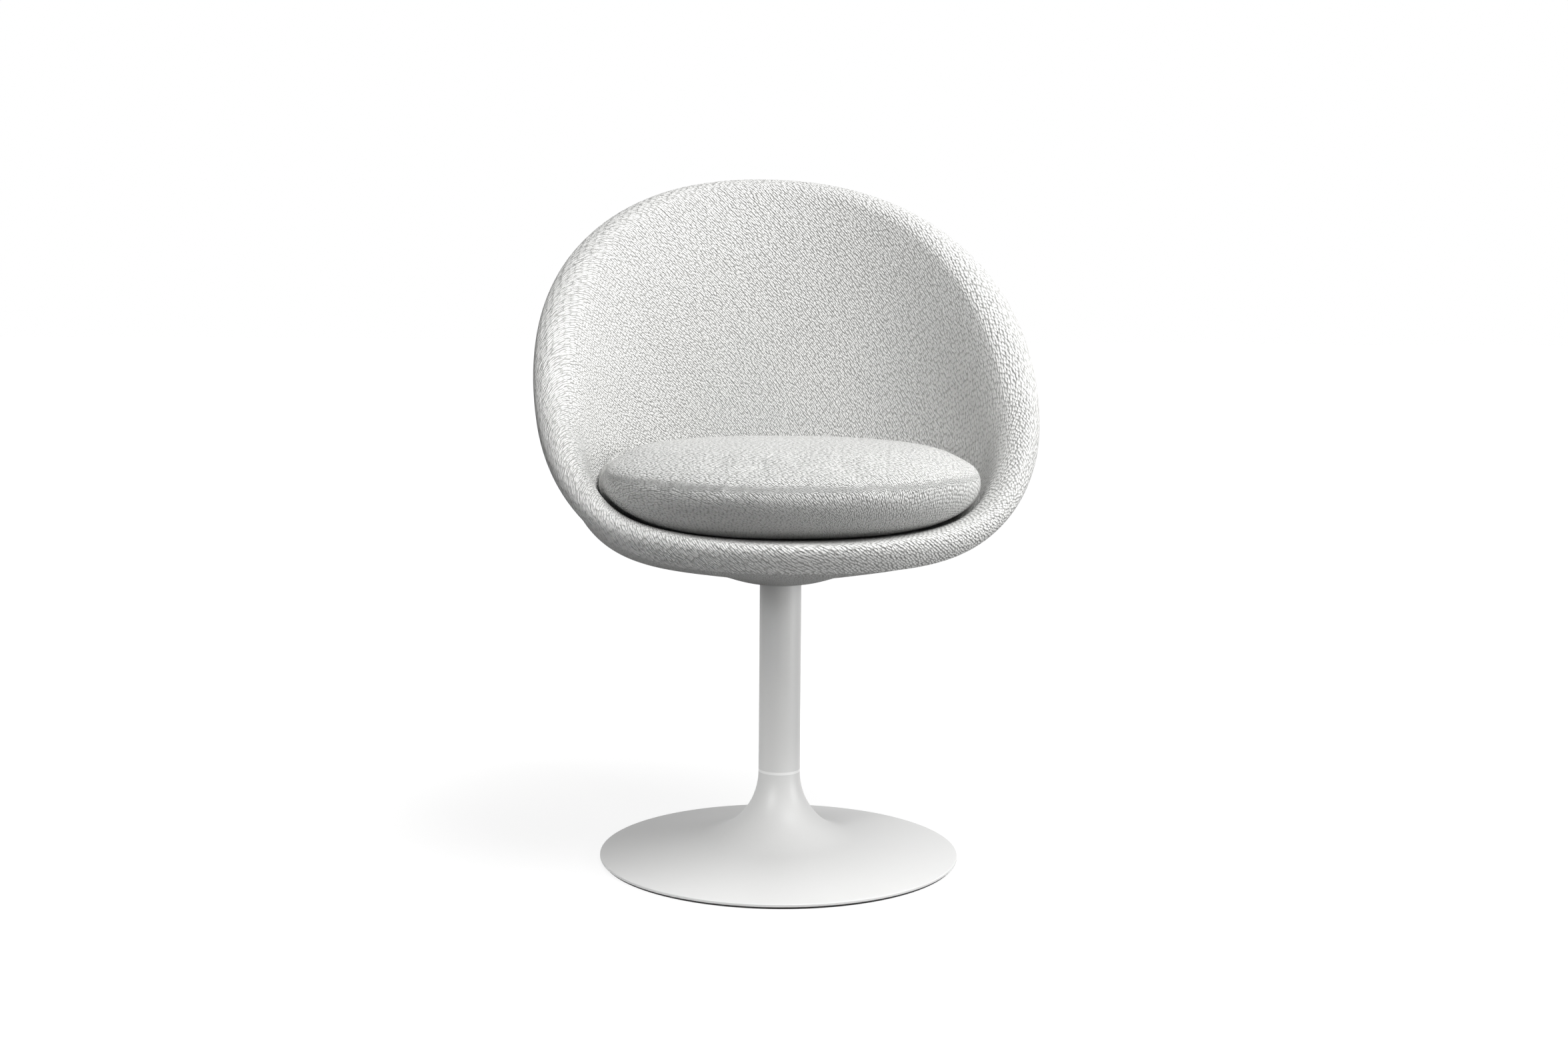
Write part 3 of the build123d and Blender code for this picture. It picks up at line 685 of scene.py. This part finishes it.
class CHAIR_OT_seat_cushion(bpy.types.Operator):
    """Loose seat cushion, blown up as cloth inside its cover"""
    bl_idname = "chair.seat_cushion"
    bl_label = "Seat cushion"

    def execute(self, context):
        scene = context.scene
        pod, cushion, fabric = scene.chair_pod, scene.chair_cushion, scene.chair_fabric
        mesh = grid_mesh("cushion_start", cushion_rows(pod, cushion, cushion.inset, 0.0004))
        start = bpy.data.objects.new("cushion_start", mesh)
        context.scene.collection.objects.link(start)
        remesh = start.modifiers.new("voxels", "REMESH")
        remesh.mode = "VOXEL"
        remesh.voxel_size = VOXEL
        relax = start.modifiers.new("relax", "SMOOTH")
        relax.iterations = 24
        skin = self.applied(context, start, "seat_cushion")
        bpy.data.objects.remove(start)
        piece = bpy.data.objects.new("seat_cushion", skin)
        context.scene.collection.objects.link(piece)
        self.inflate(context, piece, cushion)
        self.mark(piece.data, cushion, fabric, pod)
        piece.data.polygons.foreach_set("use_smooth", np.ones(len(piece.data.polygons), dtype=bool))
        piece.data.materials.append(boucle_material(fabric))
        settle = piece.modifiers.new("settle", "SMOOTH")
        settle.iterations = 10
        finer = piece.modifiers.new("finer", "SUBSURF")
        finer.levels = finer.render_levels = 1
        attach(piece, "cushion")
        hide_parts("cushion_foam", "cushion_cover_top", "cushion_cover_bottom")
        return {"FINISHED"}

    def applied(self, context, thing, name):
        """Mesh of an object with its modifiers applied."""
        context.view_layer.update()
        shaped = thing.evaluated_get(context.evaluated_depsgraph_get())
        mesh = bpy.data.meshes.new_from_object(shaped)
        mesh.name = name
        return mesh

    def spots(self, mesh):
        place = np.empty(len(mesh.vertices) * 3, np.float32)
        mesh.vertices.foreach_get("co", place)
        return place.reshape(-1, 3).astype(float)

    def inflate(self, context, piece, cushion):
        """Cloth under pressure for some frames. A point moves at most the swell, less where it faces down."""
        before = self.spots(piece.data)
        facing = np.empty(len(before) * 3, np.float32)
        piece.data.vertex_normals.foreach_get("vector", facing)
        cloth = piece.modifiers.new("cloth", "CLOTH")
        cloth.settings.quality = 5
        cloth.settings.mass = 0.3
        cloth.settings.tension_stiffness = 20
        cloth.settings.compression_stiffness = 20
        cloth.settings.shear_stiffness = 8
        cloth.settings.bending_stiffness = 20
        cloth.settings.use_pressure = True
        cloth.settings.uniform_pressure_force = 4
        cloth.settings.effector_weights.gravity = 0
        cloth.point_cache.frame_start = 1
        cloth.point_cache.frame_end = CLOTH_FRAMES
        for number in range(1, CLOTH_FRAMES + 1):
            context.scene.frame_set(number)
        blown = self.applied(context, piece, "blown")
        after = self.spots(blown)
        piece.modifiers.remove(cloth)
        context.scene.frame_set(1)
        bpy.data.meshes.remove(blown)
        if len(after) != len(before):
            raise RuntimeError("the cloth changed the number of points")
        move = after - before
        down = np.clip(-facing.reshape(-1, 3)[:, 2], 0, 1)
        cap = cushion.swell * (1 - 0.9 * ease(down / 0.5))
        far = np.linalg.norm(move, axis=1)
        move *= (cap * np.tanh(far / cap) / np.maximum(far, 1e-9))[:, None]
        piece.data.vertices.foreach_set("co", (before + move).astype(np.float32).ravel())
        piece.data.update()

    def mark(self, mesh, cushion, fabric, pod):
        """Weave map: the cloth is laid flat from the crown's middle outwards, as the plan reach of a point
        plus its drop below the crown, and under the widest line as that line's reach twice less the
        point's own."""
        place = self.spots(mesh)
        middle = (cushion.front_y + cushion.back_y) / 2
        x, y = place[:, 0], place[:, 1] - middle
        azimuth = np.arctan2(x / cushion.half_width, -y / ((cushion.back_y - cushion.front_y) / 2))
        reach = np.hypot(x, y)
        edge_x, edge_y = cushion_edge(cushion, azimuth, 0.0)
        edge = np.hypot(edge_x, edge_y - middle)
        under = place[:, 2] < pod.floor_height + around(azimuth, cushion.widest)
        drop = pod.floor_height + cushion.height - place[:, 2]
        flat = np.where(under, 2 * edge - reach, reach) + drop
        way = flat / np.maximum(reach, 1e-6)
        weave = lattice(fabric, x * way, -y * way)
        corners = np.empty(len(mesh.loops), np.int32)
        mesh.loops.foreach_get("vertex_index", corners)
        layer = mesh.uv_layers.new(name="weave")
        layer.data.foreach_set("uv", weave[corners].astype(np.float32).ravel())


class CHAIR_OT_foot_finish(bpy.types.Operator):
    """Satin enamel of foot and column, its neck ring and the felt pad"""
    bl_idname = "chair.foot_finish"
    bl_label = "Foot finish"

    def execute(self, context):
        look = context.scene.chair_paint
        enamel = skin_material("satin_enamel", look.paint_dark, look.paint, (0.36, 0.46), fine=700.0,
                               coarse=6.0, relief=0.00003)
        dress(enamel, "base_trumpet", "column_tube")
        ring_skin = skin_material("neck_plastic", (0.78, 0.78, 0.775), (0.83, 0.83, 0.825), (0.42, 0.55),
                                  fine=1500.0)
        dress(ring_skin, "neck_ring")
        felt = skin_material("black_felt", (0.02, 0.02, 0.02), (0.07, 0.07, 0.07), (0.92, 1.0), fine=2600.0,
                             coarse=60.0, relief=0.0004)
        dress(felt, "floor_pad")
        return {"FINISHED"}


class CHAIR_OT_inside_finish(bpy.types.Operator):
    """Metal, moulded and bearing finishes of what is inside"""
    bl_idname = "chair.inside_finish"
    bl_label = "Inside finishes"

    def execute(self, context):
        iron = skin_material("raw_iron", (0.13, 0.13, 0.135), (0.26, 0.26, 0.27), (0.6, 0.85), fine=420.0,
                             coarse=25.0, relief=0.0004, metallic=0.7)
        dress(iron, "ballast_disc")
        zinc = skin_material("zinc_steel", (0.52, 0.53, 0.55), (0.68, 0.68, 0.69), (0.25, 0.42), fine=500.0,
                             coarse=70.0, metallic=1.0, stretch=(1, 1, 0.08))
        dress(zinc, "tie_sleeve", "tie_bolt", "tie_washer", "column_plug", "spindle", "circlip",
              "plate_bolts", "plate_washers", "tee_nuts")
        black = skin_material("black_coat", (0.035, 0.035, 0.035), (0.06, 0.06, 0.06), (0.45, 0.6),
                              fine=1100.0)
        dress(black, "seat_plate")
        nylon = skin_material("bearing_nylon", (0.70, 0.69, 0.65), (0.78, 0.77, 0.73), (0.35, 0.5),
                              fine=1800.0)
        dress(nylon, "lower_bush", "upper_bush", "thrust_washer")
        moulded = skin_material("moulded_shell", (0.20, 0.20, 0.21), (0.28, 0.28, 0.29), (0.5, 0.7),
                                fine=1300.0)
        dress(moulded, "shell_core", "swivel_cone")
        return {"FINISHED"}


class CHAIR_OT_stage(bpy.types.Operator):
    """Pale floor, soft lamps, even sky and the camera of the photograph"""
    bl_idname = "chair.stage"
    bl_label = "Stage"

    def execute(self, context):
        look = context.scene.chair_stage
        self.floor(context, look)
        self.sky(context, look)
        for name, setting in LAMPS.items():
            self.lamp(context, name, getattr(look, name), *setting)
        camera = bpy.data.cameras.new("camera")
        camera.sensor_fit = "HORIZONTAL"
        camera.sensor_width = 36.0
        camera.lens = look.lens
        camera.dof.use_dof = False
        eye = bpy.data.objects.new("camera", camera)
        turned = Matrix.Rotation(look.yaw, 4, "Z") @ Matrix.Rotation(math.pi / 2 - look.pitch, 4, "X")
        eye.matrix_world = Matrix.Translation(look.camera) @ turned @ Matrix.Rotation(look.roll, 4, "Z")
        context.scene.collection.objects.link(eye)
        context.scene.camera = eye
        context.scene.view_settings.view_transform = "Standard"
        return {"FINISHED"}

    def seen(self, tree):
        """1 for rays that show the background: straight from the camera, or by gloss or glass."""
        path = tree.nodes.new("ShaderNodeLightPath")
        first = math_node(tree, "MAXIMUM", path.outputs["Is Camera Ray"], path.outputs["Is Glossy Ray"])
        return math_node(tree, "MAXIMUM", first, path.outputs["Is Transmission Ray"])

    def floor(self, context, look):
        """Wide level square just under the pad, grey in the light, with white of its own as background."""
        square = np.array([(-1, -1), (1, -1), (1, 1), (-1, 1)]) * FLOOR_HALF
        corners = np.column_stack([square, np.full(4, -FLOOR_DROP)])
        mesh = bpy.data.meshes.new("floor")
        mesh.from_pydata(corners.tolist(), [], [(0, 1, 2, 3)])
        material = bpy.data.materials.new("pale_floor")
        material.use_nodes = True
        tree = material.node_tree
        tree.nodes.clear()
        matt = tree.nodes.new("ShaderNodeBsdfDiffuse")
        matt.inputs["Color"].default_value = (*look.floor, 1.0)
        glow = tree.nodes.new("ShaderNodeEmission")
        body = tree.nodes.new("ShaderNodeTexCoord")
        far = tree.nodes.new("ShaderNodeVectorMath")
        far.operation = "LENGTH"
        tree.links.new(body.outputs["Object"], far.inputs[0])
        own = tree.nodes.new("ShaderNodeMapRange")
        own.interpolation_type = "SMOOTHSTEP"
        own.inputs["From Min"].default_value = FLOOR_START
        own.inputs["From Max"].default_value = look.floor_reach
        own.inputs["To Min"].default_value = look.floor_white
        own.inputs["To Max"].default_value = 1.0
        tree.links.new(far.outputs["Value"], own.inputs["Value"])
        white = math_node(tree, "MULTIPLY", self.seen(tree), own.outputs["Result"])
        tree.links.new(white, glow.inputs["Strength"])
        both = tree.nodes.new("ShaderNodeAddShader")
        tree.links.new(matt.outputs[0], both.inputs[0])
        tree.links.new(glow.outputs[0], both.inputs[1])
        output = tree.nodes.new("ShaderNodeOutputMaterial")
        tree.links.new(both.outputs[0], output.inputs["Surface"])
        mesh.materials.append(material)
        plane = bpy.data.objects.new("floor", mesh)
        context.scene.collection.objects.link(plane)

    def sky(self, context, look):
        """Even sky of a set strength, white where it is seen."""
        world = bpy.data.worlds.new("studio")
        context.scene.world = world
        world.use_nodes = True
        tree = world.node_tree
        tree.nodes.clear()
        light = tree.nodes.new("ShaderNodeBackground")
        light.inputs["Strength"].default_value = look.sky
        white = tree.nodes.new("ShaderNodeBackground")
        white.inputs["Color"].default_value = (1, 1, 1, 1)
        white.inputs["Strength"].default_value = 1.0
        light.inputs["Color"].default_value = (1, 1, 1, 1)
        both = tree.nodes.new("ShaderNodeMixShader")
        tree.links.new(self.seen(tree), both.inputs[0])
        tree.links.new(light.outputs[0], both.inputs[1])
        tree.links.new(white.outputs[0], both.inputs[2])
        output = tree.nodes.new("ShaderNodeOutputWorld")
        tree.links.new(both.outputs[0], output.inputs["Surface"])

    def lamp(self, context, name, watts, place, target, size, spread):
        """Square lamp aimed at a point."""
        lamp = bpy.data.lights.new(name, "AREA")
        lamp.energy = watts
        lamp.size = size
        lamp.spread = math.radians(spread)
        thing = bpy.data.objects.new(name, lamp)
        aim = Vector(target) - Vector(place)
        thing.matrix_world = Matrix.Translation(place) @ aim.to_track_quat("-Z", "Y").to_matrix().to_4x4()
        context.scene.collection.objects.link(thing)


class CHAIR_PT_sidebar(bpy.types.Panel):
    """Chair's sizes, looks and steps"""
    bl_label = "Pod swivel chair"
    bl_idname = "CHAIR_PT_sidebar"
    bl_space_type = "VIEW_3D"
    bl_region_type = "UI"
    bl_category = "Chair"

    def draw(self, context):
        scene = context.scene
        for title, group in (("Pod", scene.chair_pod), ("Cushion", scene.chair_cushion),
                             ("Fabric", scene.chair_fabric), ("Paint", scene.chair_paint),
                             ("Stage", scene.chair_stage)):
            box = self.layout.box()
            box.label(text=title)
            for label in group.__annotations__:
                box.prop(group, label)
        for step in STEPS:
            self.layout.operator(step.bl_idname)


GROUPS = {"chair_pod": PodSizes, "chair_cushion": CushionSizes, "chair_fabric": FabricLook,
          "chair_paint": PaintLook, "chair_stage": StageLook}
STEPS = (CHAIR_OT_pod_front, CHAIR_OT_pod_back, CHAIR_OT_seat_cushion, CHAIR_OT_foot_finish,
         CHAIR_OT_inside_finish, CHAIR_OT_stage)


def register():
    for name, group in GROUPS.items():
        bpy.utils.register_class(group)
        setattr(bpy.types.Scene, name, bpy.props.PointerProperty(type=group))
    for step in STEPS:
        bpy.utils.register_class(step)
    bpy.utils.register_class(CHAIR_PT_sidebar)


def unregister():
    bpy.utils.unregister_class(CHAIR_PT_sidebar)
    for step in reversed(STEPS):
        bpy.utils.unregister_class(step)
    for name, group in GROUPS.items():
        delattr(bpy.types.Scene, name)
        bpy.utils.unregister_class(group)


def main():
    register()
    bpy.ops.chair.stage()
    bpy.ops.chair.pod_front()
    bpy.ops.chair.pod_back()
    bpy.ops.chair.seat_cushion()
    bpy.ops.chair.foot_finish()
    bpy.ops.chair.inside_finish()


if __name__ == "__main__":
    main()
